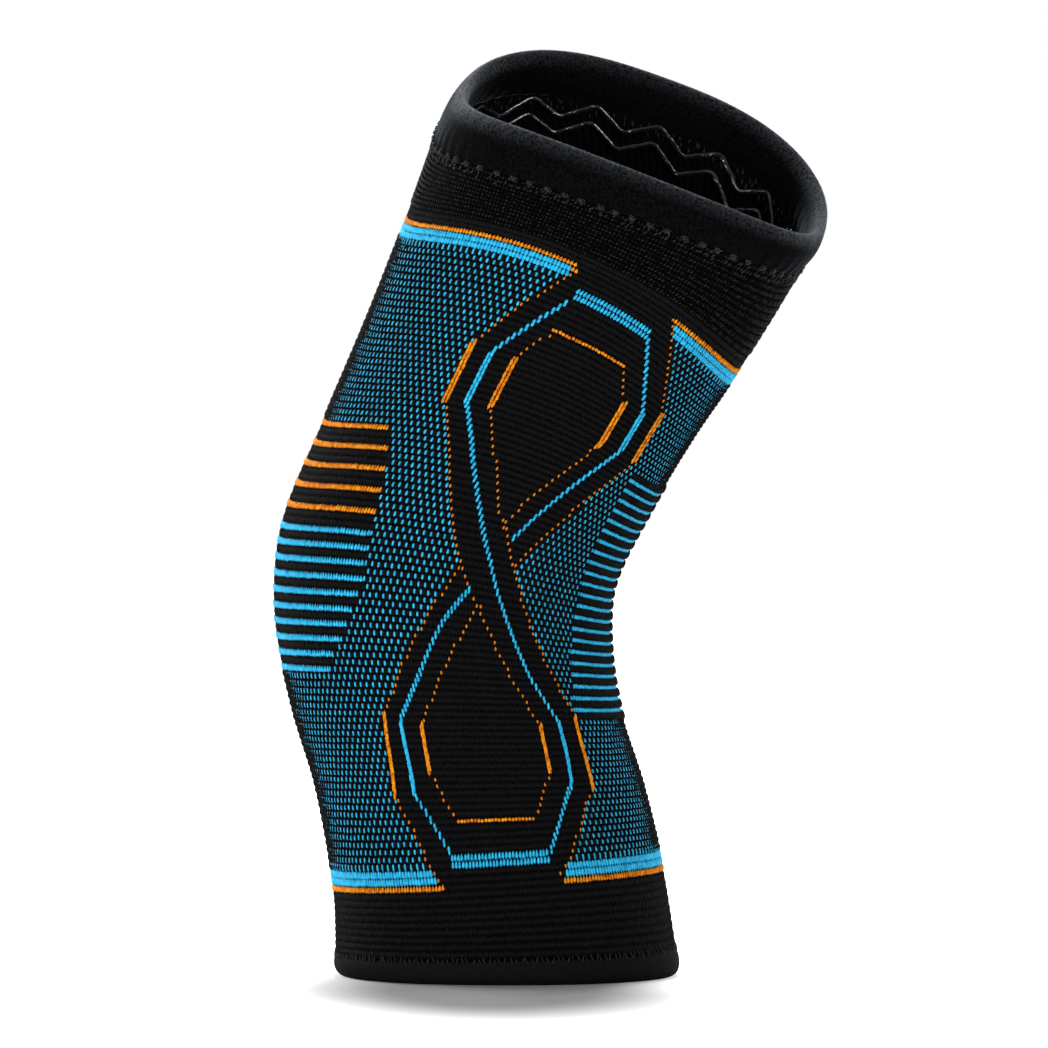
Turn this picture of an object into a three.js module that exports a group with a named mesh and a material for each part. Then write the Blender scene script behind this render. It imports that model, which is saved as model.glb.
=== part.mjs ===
// A knitted knee sleeve, half bent, in millimetres and +Z up. It stands on its lower hem, with the middle
// of its outline over the origin. +X is the back of the knee, -X the kneecap, and -Y and +Y its sides.
import * as THREE from "three";

// Sizes of the leg form that the sleeve keeps
const kneeDepth = 98; // kneecap to the hollow of the knee
const kneeWidth = 83; // side to side across the knee
const rimMiddleHeight = 239; // floor to the middle of the rim's ring
const rimSideRise = 10; // how far the rim stands higher at its sides than at its front and back

// Sizes of the knit and its hems
const wall = 2; // knit cloth
const topHemHeight = 14;
const topHemThickness = 3.6; // folded double
const bottomHemHeight = 7;
const bottomHemThickness = 3;
const footWidth = 1.6; // flat ring that the lower hem stands on
const pieceGap = 0.3; // between neighbouring pieces

// Raised knit ribs in the hollow of the knee
const ribHeight = 0.8;
const ribFirstRow = 25;
const ribLastRow = 69;
const ribSpreadLow = 44; // degrees each way from the middle of the back, at the first row
const ribSpreadHigh = 35; // the same at the last row
const ribFade = 9; // degrees over which each rib runs out into the skin

// Silicone grip lines inside the cuff
const waveCount = 18; // waves round the leg
const waveSwing = 4.4; // trough to crest
const waveSpacing = 5.2; // between the two lines
const beadWidth = 1.6;
const beadThickness = 1;
const beadClearance = 0.45; // from the cloth and the hem, with its facets

// Finish of the facets
const stepsRound = 48;
const stepsPerWave = 7;
const beadSides = 5;

const degree = Math.PI / 180;

// Sections of the leg form, from the floor to the rim. row counts knit rows, with 0 at the lower coloured
// line. back and depth are shares of kneeDepth, side and width of kneeWidth, and up of rimMiddleHeight.
// tilt raises the front of the ring and roll its +Y side, in degrees. rise is the share of rimSideRise
// by which the knit row arches up at both sides of the leg. fullness is 2 for an oval ring, and more for
// a squarer one.
const sectionColumns = ["row", "back", "up", "depth", "tilt", "width", "side", "roll", "rise", "fullness"];
const legSections = [
  [-13, 0, 0, 1.02, 0, 1.04, 0, 0, 0, 2.1],
  [0, -0.03, 0.12, 0.98, -3.5, 1.01, 0, 0, 0.02, 2.1],
  [13, -0.083, 0.229, 0.969, -1, 1.0, 0, 0, 0.08, 2.1],
  [26, -0.156, 0.328, 0.974, 1, 0.99, 0, 0, 0.17, 2.1],
  [38, -0.195, 0.424, 0.998, 5.5, 1.0, 0, 1, 0.36, 2.1],
  [49, -0.178, 0.513, 1.0, 10.3, 1.0, -0.01, 2.5, 0.62, 2.1],
  [64, -0.064, 0.62, 1.0, 15.8, 1.01, -0.03, 6, 1.17, 2.1],
  [80, 0.066, 0.728, 1.027, 20.6, 1.05, -0.06, 8, 1.45, 2.1],
  [95, 0.192, 0.83, 1.081, 24.5, 1.09, -0.1, 9, 1.56, 2.2],
  [109, 0.325, 0.941, 1.145, 19.5, 1.14, -0.15, 17, 1.05, 2.5],
  [116, 0.383, 1.0, 1.168, 20.5, 1.16, -0.17, 17.5, 0.9, 2.6],
].map((values) => Object.fromEntries(sectionColumns.map((column, k) => [column, values[k]])));
const floorRow = legSections[0].row;
const rimRow = legSections[legSections.length - 1].row;

// Slope of a column at one section, from its two neighbours
function slopeAt(column, index) {
  const before = legSections[Math.max(0, index - 1)];
  const after = legSections[Math.min(legSections.length - 1, index + 1)];
  return (after[column] - before[column]) / (after.row - before.row);
}

// A column of the section table at any knit row, on a smooth curve through the sections
function sectionValue(column, row) {
  let index = legSections.findIndex((section) => section.row > row) - 1;
  if (index < 0) index = row < rimRow ? 0 : legSections.length - 2;
  const low = legSections[index];
  const high = legSections[index + 1];
  const length = high.row - low.row;
  const t = (row - low.row) / length;
  const rise = t * t * (3 - 2 * t);
  return (
    low[column] * (1 - rise) +
    high[column] * rise +
    slopeAt(column, index) * length * t * (1 - t) * (1 - t) -
    slopeAt(column, index + 1) * length * t * t * (1 - t)
  );
}

// Middle of the ring at a knit row
function legMiddle(row) {
  return new THREE.Vector3(
    kneeDepth * sectionValue("back", row),
    kneeWidth * sectionValue("side", row),
    rimMiddleHeight * sectionValue("up", row),
  );
}

// A point of the sleeve's skin. turn is in degrees round the leg from the back of the knee through +Y,
// and lift is how far the point stands proud of the skin.
function skinPoint(row, turn, lift) {
  const tilt = sectionValue("tilt", row) * degree;
  const roll = sectionValue("roll", row) * degree;
  const fullness = sectionValue("fullness", row);
  const backwards = new THREE.Vector3(Math.cos(tilt), 0, -Math.sin(tilt));
  const upwards = new THREE.Vector3(Math.sin(tilt), 0, Math.cos(tilt));
  const sideways = new THREE.Vector3(0, Math.cos(roll), 0).addScaledVector(upwards, Math.sin(roll));
  const halfDepth = (kneeDepth * sectionValue("depth", row)) / 2;
  const halfWidth = (kneeWidth * sectionValue("width", row)) / 2;
  const cosine = Math.cos(turn * degree);
  const sine = Math.sin(turn * degree);
  const reach = (Math.abs(cosine) ** fullness + Math.abs(sine) ** fullness) ** (-1 / fullness);
  const backShare = reach * cosine;
  const sideShare = reach * sine;
  const outwards = new THREE.Vector3()
    .addScaledVector(backwards, (Math.sign(backShare) * Math.abs(backShare) ** (fullness - 1)) / halfDepth)
    .addScaledVector(sideways, (Math.sign(sideShare) * Math.abs(sideShare) ** (fullness - 1)) / halfWidth)
    .normalize();
  return legMiddle(row)
    .addScaledVector(backwards, halfDepth * backShare)
    .addScaledVector(sideways, halfWidth * sideShare)
    .addScaledVector(upwards, rimSideRise * sectionValue("rise", row) * sideShare * sideShare)
    .addScaledVector(outwards, lift);
}

// The knit row that lies a length up (or, below zero, down) the leg from another row
function rowAlong(row, length) {
  const stride = 0.01 * Math.sign(length);
  let walked = 0;
  let here = legMiddle(row);
  while (walked < Math.abs(length)) {
    row += stride;
    const next = legMiddle(row);
    walked += next.distanceTo(here);
    here = next;
  }
  return row;
}

// A closed ring: corner gives the point of each corner of its cross-section at each step round the leg
function ringGeometry(steps, corners, corner) {
  const positions = [];
  const faces = [];
  for (let step = 0; step < steps; step += 1) {
    for (let k = 0; k < corners; k += 1) {
      positions.push(...corner((360 * step) / steps, k).toArray());
      const here = step * corners;
      const next = ((step + 1) % steps) * corners;
      const after = (k + 1) % corners;
      faces.push(here + k, next + k, next + after, here + k, next + after, here + after);
    }
  }
  const geometry = new THREE.BufferGeometry();
  geometry.setAttribute("position", new THREE.Float32BufferAttribute(positions, 3));
  geometry.setIndex(faces);
  geometry.computeVertexNormals();
  return geometry;
}

// How far the skin is raised by the knit ribs in the hollow of the knee: each odd row stands up
function ribLift(row, turn) {
  if (row < ribFirstRow || row > ribLastRow) return 0;
  const share = (row - ribFirstRow) / (ribLastRow - ribFirstRow);
  const edge = THREE.MathUtils.lerp(ribSpreadLow, ribSpreadHigh, share);
  const fromBack = Math.min(turn, 360 - turn);
  const spread = 1 - THREE.MathUtils.smoothstep(fromBack, edge - ribFade, edge);
  const crest = Math.sin(((row - ribFirstRow + 1) * Math.PI) / 2) ** 2;
  return ribHeight * spread * crest;
}

// Knit rows at even distances between two rows, both ends included
function rowsBetween(first, last, count) {
  return Array.from({ length: count + 1 }, (_, k) => first + ((last - first) * k) / count);
}

// Where the pieces end, as knit rows
const bottomHemRow = rowAlong(floorRow, bottomHemHeight);
const knitFirstRow = rowAlong(bottomHemRow, pieceGap);
const topHemRow = rowAlong(rimRow, -topHemHeight);
const knitLastRow = rowAlong(topHemRow, -pieceGap);

// The knit tube: one seamless wall from hem to hem, ribbed in the hollow of the knee
const outerRows = [
  ...rowsBetween(knitFirstRow, ribFirstRow - 1, 4),
  ...rowsBetween(ribFirstRow, ribLastRow, ribLastRow - ribFirstRow),
  ...rowsBetween(ribLastRow + 1, knitLastRow, 6),
];
const innerRows = [
  ...rowsBetween(knitFirstRow, ribFirstRow, 3),
  ...rowsBetween(ribFirstRow, ribLastRow, 5).slice(1),
  ...rowsBetween(ribLastRow, knitLastRow, 7).slice(1),
].reverse();
const knitCorners = [
  ...outerRows.map((row) => ({ row, inside: false })),
  ...innerRows.map((row) => ({ row, inside: true })),
];
const knitGeometry = ringGeometry(stepsRound, knitCorners.length, (turn, k) => {
  const { row, inside } = knitCorners[k];
  return skinPoint(row, turn, inside ? -wall : ribLift(row, turn));
});

// Cross-section of the top hem, a folded band with a round upper edge. up is a share of its height and
// out a share of half its thickness, from the middle of the cloth.
const topHemSection = [
  { up: 0.0, out: 0.62 },
  { up: 0.08, out: 0.92 },
  { up: 0.5, out: 1.0 },
  { up: 0.86, out: 0.9 },
  { up: 0.97, out: 0.52 },
  { up: 1.0, out: 0.0 },
  { up: 0.97, out: -0.52 },
  { up: 0.86, out: -0.9 },
  { up: 0.5, out: -1.0 },
  { up: 0.08, out: -0.92 },
  { up: 0.0, out: -0.62 },
];
const topHemGeometry = ringGeometry(stepsRound, topHemSection.length, (turn, k) => {
  const { up, out } = topHemSection[k];
  const row = THREE.MathUtils.lerp(topHemRow, rimRow, up);
  return skinPoint(row, turn, (out * topHemThickness) / 2 - wall / 2);
});

// Cross-section of the bottom hem, in the same shares, round at its foot but for the flat ring it stands on
const footShare = footWidth / bottomHemThickness;
const bottomHemSection = [
  { up: 0.0, out: footShare },
  { up: 0.14, out: 0.94 },
  { up: 0.5, out: 1.0 },
  { up: 0.9, out: 0.92 },
  { up: 1.0, out: 0.66 },
  { up: 1.0, out: -0.66 },
  { up: 0.9, out: -0.92 },
  { up: 0.5, out: -1.0 },
  { up: 0.14, out: -0.94 },
  { up: 0.0, out: -footShare },
];
const bottomHemGeometry = ringGeometry(stepsRound, bottomHemSection.length, (turn, k) => {
  const { up, out } = bottomHemSection[k];
  const row = THREE.MathUtils.lerp(floorRow, bottomHemRow, up);
  return skinPoint(row, turn, (out * bottomHemThickness) / 2 - wall / 2);
});

// A grip line: a flat-backed bead of silicone that waves round the inside of the cuff
function waveGeometry(middleRow) {
  const rowSwing = rowAlong(middleRow, waveSwing / 2) - middleRow;
  const middle = (turn) => {
    const row = middleRow + rowSwing * Math.sin(waveCount * turn * degree);
    return skinPoint(row, turn, -(wall + beadClearance + beadThickness / 2));
  };
  return ringGeometry(waveCount * stepsPerWave, beadSides, (turn, k) => {
    const along = middle(turn + 0.5).sub(middle(turn - 0.5)).normalize();
    const outwards = skinPoint(middleRow, turn, 1).sub(skinPoint(middleRow, turn, 0));
    const across = new THREE.Vector3().crossVectors(along, outwards).normalize();
    const facing = new THREE.Vector3().crossVectors(across, along);
    const angle = ((k + 0.5) / beadSides) * 2 * Math.PI;
    return middle(turn)
      .addScaledVector(across, (beadWidth / 2) * Math.cos(angle))
      .addScaledVector(facing, (beadThickness / 2) * Math.sin(angle));
  });
}
const upperWaveDrop = waveSwing / 2 + beadWidth / 2 + beadClearance;
const upperWaveRow = rowAlong(topHemRow, -upperWaveDrop);
const lowerWaveRow = rowAlong(upperWaveRow, -waveSpacing);

// Colours and finishes
const knitFinish = { color: 0x14151a, roughness: 0.92, metalness: 0 };
const hemFinish = { color: 0x2b2d31, roughness: 0.97, metalness: 0 };
const siliconeFinish = { color: 0x3c3e42, roughness: 0.25, metalness: 0 };

const pieces = [
  { name: "knit_sleeve", geometry: knitGeometry, finish: knitFinish },
  { name: "top_hem", geometry: topHemGeometry, finish: hemFinish },
  { name: "bottom_hem", geometry: bottomHemGeometry, finish: hemFinish },
  { name: "silicone_wave_upper", geometry: waveGeometry(upperWaveRow), finish: siliconeFinish },
  { name: "silicone_wave_lower", geometry: waveGeometry(lowerWaveRow), finish: siliconeFinish },
];

const kneeSleeve = new THREE.Group();
kneeSleeve.name = "knee_sleeve";
for (const { name, geometry, finish } of pieces) {
  const mesh = new THREE.Mesh(geometry, new THREE.MeshStandardMaterial(finish));
  mesh.name = name;
  kneeSleeve.add(mesh);
}

// The middle of the sleeve's outline stands over the origin
const outline = new THREE.Box3().setFromObject(kneeSleeve);
const middle = outline.getCenter(new THREE.Vector3());
kneeSleeve.position.set(-middle.x, -middle.y, -outline.min.z);

export default kneeSleeve;
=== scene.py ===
# A knitted knee sleeve with a coloured support pattern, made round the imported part, in metres
import math

import bmesh
import bpy
import numpy as np
from mathutils import Matrix, Vector


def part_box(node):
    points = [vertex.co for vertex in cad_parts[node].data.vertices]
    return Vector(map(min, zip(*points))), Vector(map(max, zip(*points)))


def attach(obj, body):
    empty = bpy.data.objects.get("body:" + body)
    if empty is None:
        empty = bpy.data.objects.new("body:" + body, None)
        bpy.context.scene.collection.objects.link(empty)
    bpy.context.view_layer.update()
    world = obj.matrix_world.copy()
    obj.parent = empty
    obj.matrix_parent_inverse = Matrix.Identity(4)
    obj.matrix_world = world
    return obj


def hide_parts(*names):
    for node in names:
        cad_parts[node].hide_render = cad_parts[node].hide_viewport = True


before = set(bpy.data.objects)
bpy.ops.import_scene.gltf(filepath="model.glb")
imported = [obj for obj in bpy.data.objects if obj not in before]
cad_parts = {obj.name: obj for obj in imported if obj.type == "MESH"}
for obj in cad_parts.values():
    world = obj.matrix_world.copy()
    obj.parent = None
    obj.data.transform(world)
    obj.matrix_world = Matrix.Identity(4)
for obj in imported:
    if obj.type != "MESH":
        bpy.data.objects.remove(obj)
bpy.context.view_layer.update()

# Leg form: the shape of a half-bent knee that the knit keeps. Chart points, which count wales round the
# leg from the middle of the back, knit rows up from the lower orange line, and a lift off the skin in
# metres, are placed on it. The sections hold shares of the sizes, as the part's own table does.
knee_depth = 0.098
knee_width = 0.083
rim_middle_height = 0.239
rim_side_rise = 0.010
wall = 0.002
wales = 304
floor_row = -13
rim_row = 116
section_columns = ["row", "back", "up", "depth", "tilt", "width", "side", "roll", "rise", "fullness"]
leg_sections = np.array([
    [-13, 0, 0, 1.02, 0, 1.04, 0, 0, 0, 2.1],
    [0, -0.03, 0.12, 0.98, -3.5, 1.01, 0, 0, 0.02, 2.1],
    [13, -0.083, 0.229, 0.969, -1, 1.0, 0, 0, 0.08, 2.1],
    [26, -0.156, 0.328, 0.974, 1, 0.99, 0, 0, 0.17, 2.1],
    [38, -0.195, 0.424, 0.998, 5.5, 1.0, 0, 1, 0.36, 2.1],
    [49, -0.178, 0.513, 1.0, 10.3, 1.0, -0.01, 2.5, 0.62, 2.1],
    [64, -0.064, 0.62, 1.0, 15.8, 1.01, -0.03, 6, 1.17, 2.1],
    [80, 0.066, 0.728, 1.027, 20.6, 1.05, -0.06, 8, 1.45, 2.1],
    [95, 0.192, 0.83, 1.081, 24.5, 1.09, -0.1, 9, 1.56, 2.2],
    [109, 0.325, 0.941, 1.145, 19.5, 1.14, -0.15, 17, 1.05, 2.5],
    [116, 0.383, 1.0, 1.168, 20.5, 1.16, -0.17, 17.5, 0.9, 2.6],
])
leg_place = np.zeros(3)


def section_at(row):
    """Each column of the section table at the given rows, on smooth curves through the sections."""
    rows = leg_sections[:, 0]
    after = np.vstack([leg_sections[1:], leg_sections[-1:]])
    before = np.vstack([leg_sections[:1], leg_sections[:-1]])
    slopes = (after - before) / (after - before)[:, :1]
    low = np.clip(np.searchsorted(rows, row, side="right") - 1, 0, len(rows) - 2)
    length = rows[low + 1] - rows[low]
    t = ((row - rows[low]) / length)[:, None]
    rise = t * t * (3 - 2 * t)
    values = leg_sections[low] * (1 - rise) + leg_sections[low + 1] * rise
    values += slopes[low] * length[:, None] * t * (1 - t) ** 2
    values -= slopes[low + 1] * length[:, None] * t * t * (1 - t)
    return dict(zip(section_columns, values.T))


def unit(vectors):
    """Vectors that point the same ways, each one long."""
    return vectors / np.linalg.norm(vectors, axis=1)[:, None]


def on_leg(chart):
    """The places on the leg of chart points, each with its wale, knit row and lift."""
    wale, row, lift = np.asarray(chart, float).T
    here = section_at(row)
    turn = 2 * math.pi * wale / wales
    tilt = np.radians(here["tilt"])
    roll = np.radians(here["roll"])
    fullness = here["fullness"]
    nothing = np.zeros_like(tilt)
    backwards = np.stack([np.cos(tilt), nothing, -np.sin(tilt)], 1)
    upwards = np.stack([np.sin(tilt), nothing, np.cos(tilt)], 1)
    sideways = np.stack([nothing, np.cos(roll), nothing], 1) + upwards * np.sin(roll)[:, None]
    half_depth = knee_depth * here["depth"] / 2
    half_width = knee_width * here["width"] / 2
    reach = (np.abs(np.cos(turn)) ** fullness + np.abs(np.sin(turn)) ** fullness) ** (-1 / fullness)
    back_share = reach * np.cos(turn)
    side_share = reach * np.sin(turn)
    back_slope = np.sign(back_share) * np.abs(back_share) ** (fullness - 1) / half_depth
    side_slope = np.sign(side_share) * np.abs(side_share) ** (fullness - 1) / half_width
    outwards = unit(backwards * back_slope[:, None] + sideways * side_slope[:, None])
    middle = [knee_depth * here["back"], knee_width * here["side"], rim_middle_height * here["up"]]
    arch = rim_side_rise * here["rise"] * side_share ** 2
    placed = np.stack(middle, 1) + leg_place
    placed += backwards * (half_depth * back_share)[:, None]
    placed += sideways * (half_width * side_share)[:, None]
    return placed + upwards * arch[:, None] + outwards * lift[:, None]


def row_along(row, length):
    """The knit row that lies a length up, or below zero down, the leg from another row."""
    most_rows = 20
    steps = 2000
    rows = row + np.linspace(0, most_rows * np.sign(length), steps + 1)
    here = section_at(rows)
    middle = [knee_depth * here["back"], knee_width * here["side"], rim_middle_height * here["up"]]
    strides = np.linalg.norm(np.diff(np.stack(middle, 1), axis=0), axis=1)
    walked = np.concatenate([[0], np.cumsum(strides)])
    return float(np.interp(abs(length), walked, rows))


def move_points(piece, new_places):
    """Moves the points of a piece to the places that a function of their old places gives."""
    points = np.empty(len(piece.data.vertices) * 3, np.float32)
    piece.data.vertices.foreach_get("co", points)
    placed = new_places(points.reshape(-1, 3).astype(float))
    piece.data.vertices.foreach_set("co", placed.astype(np.float32).ravel())
    piece.data.update()


def wrap(piece):
    """Moves the points of a piece from the chart onto the leg."""
    move_points(piece, on_leg)


def add_piece(name, cloth):
    """Makes a bmesh an object of the scene, smooth, and frees it."""
    mesh = bpy.data.meshes.new(name)
    cloth.to_mesh(mesh)
    cloth.free()
    mesh.shade_smooth()
    piece = bpy.data.objects.new(name, mesh)
    bpy.context.scene.collection.objects.link(piece)
    return piece


def finish_piece(piece, material):
    """Gives a piece its material and sets it on the one body."""
    piece.data.materials.clear()
    piece.data.materials.append(material)
    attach(piece, "root")


# Knit wall: one seamless tube of nylon and elastane yarn, knitted in the round from hem to hem. It is the
# dark ground that the stitches below are set in, with ridges in the hollow of the knee, and its inner
# face shows in the opening.
piece_gap = 0.0003
top_hem_height = 0.014
bottom_hem_height = 0.007
ridge_height = 0.0008
ridge_first_row = 25
ridge_last_row = 69
ridge_spread_low = 44
ridge_spread_high = 35
ridge_fade = 9
ridge_margin = 0.02
ground_sink = 0.00025
ground_steps_round = wales // 2
ground_steps_per_row = 2
inner_steps_per_row = 0.75
bottom_hem_row = row_along(floor_row, bottom_hem_height)
knit_first_row = row_along(bottom_hem_row, piece_gap)
top_hem_row = row_along(rim_row, -top_hem_height)
knit_last_row = row_along(top_hem_row, -piece_gap)

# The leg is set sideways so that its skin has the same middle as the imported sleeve
fit_turns = 48
fit_levels = 200
part_turns = np.arange(fit_turns) * wales / fit_turns
part_rows = np.linspace(knit_first_row, knit_last_row, fit_levels)
part_skin = np.array([(wale, row, 0) for wale in part_turns for row in part_rows])
part_low, part_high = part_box("knit_sleeve")
skin_points = on_leg(part_skin)
leg_place = (np.array(part_low) + np.array(part_high) - skin_points.min(0) - skin_points.max(0)) / 2
leg_place[2] = 0


def ridge_lift(chart):
    """How far the ridges in the hollow of the knee raise chart points: each odd row stands up."""
    wale, row, lift = chart.T
    share = (row - ridge_first_row) / (ridge_last_row - ridge_first_row)
    edge = ridge_spread_low + (ridge_spread_high - ridge_spread_low) * share
    from_back = np.minimum(wale % wales, wales - wale % wales) * 360 / wales
    t = np.clip((edge - from_back) / ridge_fade, 0, 1)
    spread = t * t * (3 - 2 * t)
    crest = np.sin((row - ridge_first_row + 1) * math.pi / 2) ** 2
    inside = (share > -ridge_margin) & (share < 1 + ridge_margin)
    return ridge_height * spread * crest * inside


def close_band(name, section, steps_round):
    """A closed band round the leg. section lists the knit row and the lift of each step of its outline."""
    cloth = bmesh.new()
    steps = len(section)
    bmesh.ops.create_grid(cloth, x_segments=steps_round, y_segments=steps, size=0.5)
    pattern = cloth.loops.layers.uv.new("chart")
    for vertex in cloth.verts:
        row, lift = section[round((vertex.co.y + 0.5) * steps) % steps]
        vertex.co = (round((vertex.co.x + 0.5) * steps_round) * wales / steps_round, row, lift)
    for face in cloth.faces:
        for corner in face.loops:
            corner[pattern].uv = (corner.vert.co.x / wales, corner.vert.co.y / rim_row)
    for vertex in cloth.verts:
        vertex.co.x %= wales
    bmesh.ops.remove_doubles(cloth, verts=cloth.verts, dist=1e-6)
    return add_piece(name, cloth)


def face_outwards(piece):
    """Turns the faces of a closed piece outwards."""
    cloth = bmesh.new()
    cloth.from_mesh(piece.data)
    bmesh.ops.recalc_face_normals(cloth, faces=cloth.faces)
    cloth.to_mesh(piece.data)
    cloth.free()


def raise_outer(chart):
    """Chart points of the wall, with those of its outer face raised by the ridges."""
    outer = chart[:, 2] > -wall / 2
    return chart + np.outer(ridge_lift(chart) * outer, (0, 0, 1))


outer_steps = round((knit_last_row - knit_first_row) * ground_steps_per_row)
inner_steps = round((knit_last_row - knit_first_row) * inner_steps_per_row)
outer_face = [(row, -ground_sink) for row in np.linspace(knit_first_row, knit_last_row, outer_steps + 1)]
inner_face = [(row, -wall) for row in np.linspace(knit_last_row, knit_first_row, inner_steps + 1)]
knit_ground = close_band("knit_ground", outer_face + inner_face, ground_steps_round)
move_points(knit_ground, raise_outer)
wrap(knit_ground)
face_outwards(knit_ground)


def give_values(node, values):
    """Gives fixed values to the named sockets of a node."""
    for socket, value in values.items():
        node.inputs[socket].default_value = value


def add_node(tree, kind, values=None, **settings):
    """Adds a node to a tree, with its settings first and then the values of its sockets."""
    node = tree.nodes.new(kind)
    for setting, choice in settings.items():
        setattr(node, setting, choice)
    give_values(node, values or {})
    return node


def link_nodes(tree, *links):
    """Links the nodes of a tree: each link is a node, its output, the next node and its input."""
    for source, output, target, socket in links:
        tree.links.new(source.outputs[output], target.inputs[socket])


def new_material(name, values):
    """A material with values on its shader's own sockets, with its node tree and its shader."""
    material = bpy.data.materials.new(name)
    material.use_nodes = True
    shader = material.node_tree.nodes["Principled BSDF"]
    give_values(shader, values)
    return material, material.node_tree, shader


# Yarn finish: a tone that varies from deep to bright, and fibres that show as fine bumps
yarn = bpy.data.node_groups.new("yarn", "ShaderNodeTree")
yarn_sockets = [
    ("Deep", "INPUT", "NodeSocketColor"),
    ("Bright", "INPUT", "NodeSocketColor"),
    ("Stitch scale", "INPUT", "NodeSocketFloat"),
    ("Contrast", "INPUT", "NodeSocketFloat"),
    ("Fibre scale", "INPUT", "NodeSocketFloat"),
    ("Fibre depth", "INPUT", "NodeSocketFloat"),
    ("Colour", "OUTPUT", "NodeSocketColor"),
    ("Tone", "OUTPUT", "NodeSocketFloat"),
    ("Normal", "OUTPUT", "NodeSocketVector"),
]
for socket_name, in_or_out, socket_type in yarn_sockets:
    yarn.interface.new_socket(socket_name, in_out=in_or_out, socket_type=socket_type)
yarn_in = add_node(yarn, "NodeGroupInput")
yarn_out = add_node(yarn, "NodeGroupOutput")
yarn_place = add_node(yarn, "ShaderNodeTexCoord")
stitch_tone = add_node(yarn, "ShaderNodeTexNoise", {"Detail": 2})
from_middle = add_node(yarn, "ShaderNodeMath", {1: 0.5}, operation="SUBTRACT")
spread_tone = add_node(yarn, "ShaderNodeMath", {2: 0.5}, operation="MULTIPLY_ADD", use_clamp=True)
stitch_mix = add_node(yarn, "ShaderNodeMix", data_type="RGBA")
fibre_noise = add_node(yarn, "ShaderNodeTexNoise", {"Detail": 3})
fibre_bump = add_node(yarn, "ShaderNodeBump", {"Distance": 0.0002})
link_nodes(
    yarn,
    (yarn_place, "Object", stitch_tone, "Vector"),
    (yarn_in, "Stitch scale", stitch_tone, "Scale"),
    (stitch_tone, "Fac", from_middle, 0),
    (from_middle, "Value", spread_tone, 0),
    (yarn_in, "Contrast", spread_tone, 1),
    (spread_tone, "Value", stitch_mix, "Factor"),
    (yarn_in, "Deep", stitch_mix, "A"),
    (yarn_in, "Bright", stitch_mix, "B"),
    (yarn_place, "Object", fibre_noise, "Vector"),
    (yarn_in, "Fibre scale", fibre_noise, "Scale"),
    (fibre_noise, "Fac", fibre_bump, "Height"),
    (yarn_in, "Fibre depth", fibre_bump, "Strength"),
    (stitch_mix, "Result", yarn_out, "Colour"),
    (spread_tone, "Value", yarn_out, "Tone"),
    (fibre_bump, "Normal", yarn_out, "Normal"),
)
yarn_sheen_roughness = 0.25
cool_sheen = (0.5, 0.6, 0.7)


def yarn_material(name, deep, bright, roughness, sheen, sheen_tint, shine=0.12, stitch_scale=700,
                  contrast=1.0, fibre_scale=5000, fibre_depth=0.25):
    """A yarn: its deep and bright tones vary from stitch to stitch, and its fibres catch the light."""
    material, tree, shader = new_material(name, {
        "Roughness": roughness,
        "Specular IOR Level": shine,
        "Sheen Weight": sheen,
        "Sheen Roughness": yarn_sheen_roughness,
        "Sheen Tint": (*sheen_tint, 1),
    })
    spun_values = {
        "Deep": (*deep, 1),
        "Bright": (*bright, 1),
        "Stitch scale": stitch_scale,
        "Contrast": contrast,
        "Fibre scale": fibre_scale,
        "Fibre depth": fibre_depth,
    }
    spun = add_node(tree, "ShaderNodeGroup", spun_values, node_tree=yarn)
    link_nodes(tree, (spun, "Colour", shader, "Base Color"), (spun, "Normal", shader, "Normal"))
    return material


black_knit = yarn_material("black_knit", (0.0022, 0.0022, 0.0026), (0.0074, 0.0074, 0.0082), 0.8, 0.01,
                           cool_sheen, shine=0.04)
# The ground yarn is the black knit painted darker all over, a painted shade for the inside of the sleeve that
# shows in the opening
ground_yarn_painted_dark = yarn_material("ground_yarn_painted_dark", (0.0004, 0.0004, 0.0005), (0.0022, 0.0022, 0.0025), 0.8, 0.01,
                            cool_sheen, shine=0.04)
# On the plain inner face the loops of the knit show as a relief, one for each wale and row
ground_tree = ground_yarn_painted_dark.node_tree
ground_chart = add_node(ground_tree, "ShaderNodeUVMap", uv_map="chart")
ground_loops = add_node(ground_tree, "ShaderNodeMapping", {"Scale": (math.pi * wales, math.pi * rim_row, 1)})
ground_wave = add_node(ground_tree, "ShaderNodeVectorMath", operation="SINE")
ground_split = add_node(ground_tree, "ShaderNodeSeparateXYZ")
ground_height = add_node(ground_tree, "ShaderNodeMath", operation="MULTIPLY")
ground_relief = add_node(ground_tree, "ShaderNodeBump", {"Distance": 0.0004})
link_nodes(
    ground_tree,
    (ground_chart, "UV", ground_loops, "Vector"),
    (ground_loops, "Vector", ground_wave, 0),
    (ground_wave, "Vector", ground_split, "Vector"),
    (ground_split, "X", ground_height, 0),
    (ground_split, "Y", ground_height, 1),
    (ground_height, "Value", ground_relief, "Height"),
    (ground_relief, "Normal", ground_tree.nodes["Principled BSDF"], "Normal"),
)
finish_piece(knit_ground, ground_yarn_painted_dark)
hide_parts("knit_sleeve")

# Colour chart: what yarn shows at each wale and row. The same chart is knitted on both sides of the leg,
# so it counts wales from the middle of a side, negative towards the kneecap and positive towards the
# back. The bent figure of eight follows the ligaments on each side of the kneecap.
kinds = ["plain", "net", "dot", "long dot", "blue", "bar", "orange", "orange dot", "orange bar", "cuff",
         "smooth", "ridge", "trough", "stripe"]
half_wales = wales // 4
row_room = 0.4
chart_first_row = math.ceil(knit_first_row + row_room)
chart_last_row = math.floor(knit_last_row - row_room)
band_rows = {"orange_low": 0, "blue_low": (1, 2), "blue_high": (93, 94), "orange_high": 95}
dots_first_row = 3
dots_last_row = 92
cuff_first_row = 96
cuff_rough_row = 98
chart = np.zeros((chart_last_row - chart_first_row + 1, 2 * half_wales + 1), int)


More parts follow.
